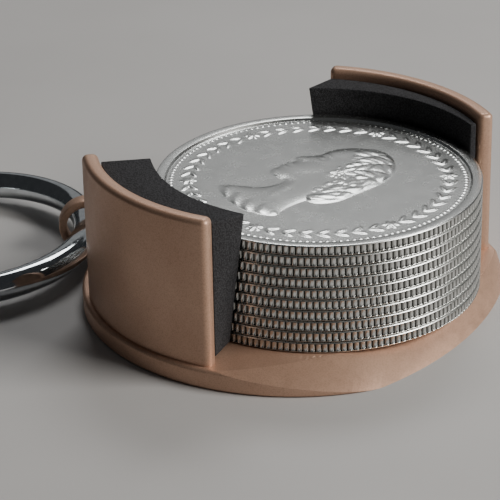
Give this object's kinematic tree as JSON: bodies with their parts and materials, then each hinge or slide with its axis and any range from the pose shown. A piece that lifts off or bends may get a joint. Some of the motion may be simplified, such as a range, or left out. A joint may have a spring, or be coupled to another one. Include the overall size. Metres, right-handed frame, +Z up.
{
  "type": "coin capsule",
  "caption": "Open coin capsule: round metal tray with two upright curved walls, foam-lined, holding a stack of coins, with a key ring on the rim.",
  "frame": {"origin": "centre of the tray's flat underside, on the tray's round axis", "axes": "+Z up along the tray's axis; +X to the right and -Y towards the person facing the thumb opening; the key ring lies towards -X"},
  "size_m": [0.0839, 0.0553, 0.02],
  "materials": {
    "satin_rose_gold": "satin anodised rose gold",
    "black_foam": "matte closed-cell foam",
    "polished_silver": "struck silver, mirror field, reeded edge",
    "polished_steel": "polished nickel plate"
  },
  "bodies": {
    "capsule": {"tray": "satin_rose_gold", "left_pad": "black_foam", "right_pad": "black_foam"},
    "key_ring": {"key_ring": "polished_steel"},
    "coin_01": {"coin_01": "polished_silver"},
    "coin_02": {"coin_02": "polished_silver"},
    "coin_03": {"coin_03": "polished_silver"},
    "coin_04": {"coin_04": "polished_silver"},
    "coin_05": {"coin_05": "polished_silver"},
    "coin_06": {"coin_06": "polished_silver"},
    "coin_07": {"coin_07": "polished_silver"},
    "coin_08": {"coin_08": "polished_silver"},
    "coin_09": {"coin_09": "polished_silver"},
    "coin_10": {"coin_10": "polished_silver"}
  },
  "joints": [
    {"name": "key_ring_swing", "type": "hinge", "parent": "capsule", "child": "key_ring", "pos_m": [-0.02552, 0.01357, 0.00311], "axis": [-0.0698, 0.9976, 0], "range_deg": [0, 70]},
    {"name": "coin_01_lift", "type": "slide", "parent": "capsule", "child": "coin_01", "axis": [0, 0, 1], "range_m": [0, 0.02]},
    {"name": "coin_02_lift", "type": "slide", "parent": "coin_01", "child": "coin_02", "axis": [0, 0, 1], "range_m": [0, 0.02]},
    {"name": "coin_03_lift", "type": "slide", "parent": "coin_02", "child": "coin_03", "axis": [0, 0, 1], "range_m": [0, 0.02]},
    {"name": "coin_04_lift", "type": "slide", "parent": "coin_03", "child": "coin_04", "axis": [0, 0, 1], "range_m": [0, 0.02]},
    {"name": "coin_05_lift", "type": "slide", "parent": "coin_04", "child": "coin_05", "axis": [0, 0, 1], "range_m": [0, 0.02]},
    {"name": "coin_06_lift", "type": "slide", "parent": "coin_05", "child": "coin_06", "axis": [0, 0, 1], "range_m": [0, 0.02]},
    {"name": "coin_07_lift", "type": "slide", "parent": "coin_06", "child": "coin_07", "axis": [0, 0, 1], "range_m": [0, 0.02]},
    {"name": "coin_08_lift", "type": "slide", "parent": "coin_07", "child": "coin_08", "axis": [0, 0, 1], "range_m": [0, 0.02]},
    {"name": "coin_09_lift", "type": "slide", "parent": "coin_08", "child": "coin_09", "axis": [0, 0, 1], "range_m": [0, 0.02]},
    {"name": "coin_10_lift", "type": "slide", "parent": "coin_09", "child": "coin_10", "axis": [0, 0, 1], "range_m": [0, 0.02]}
  ]
}
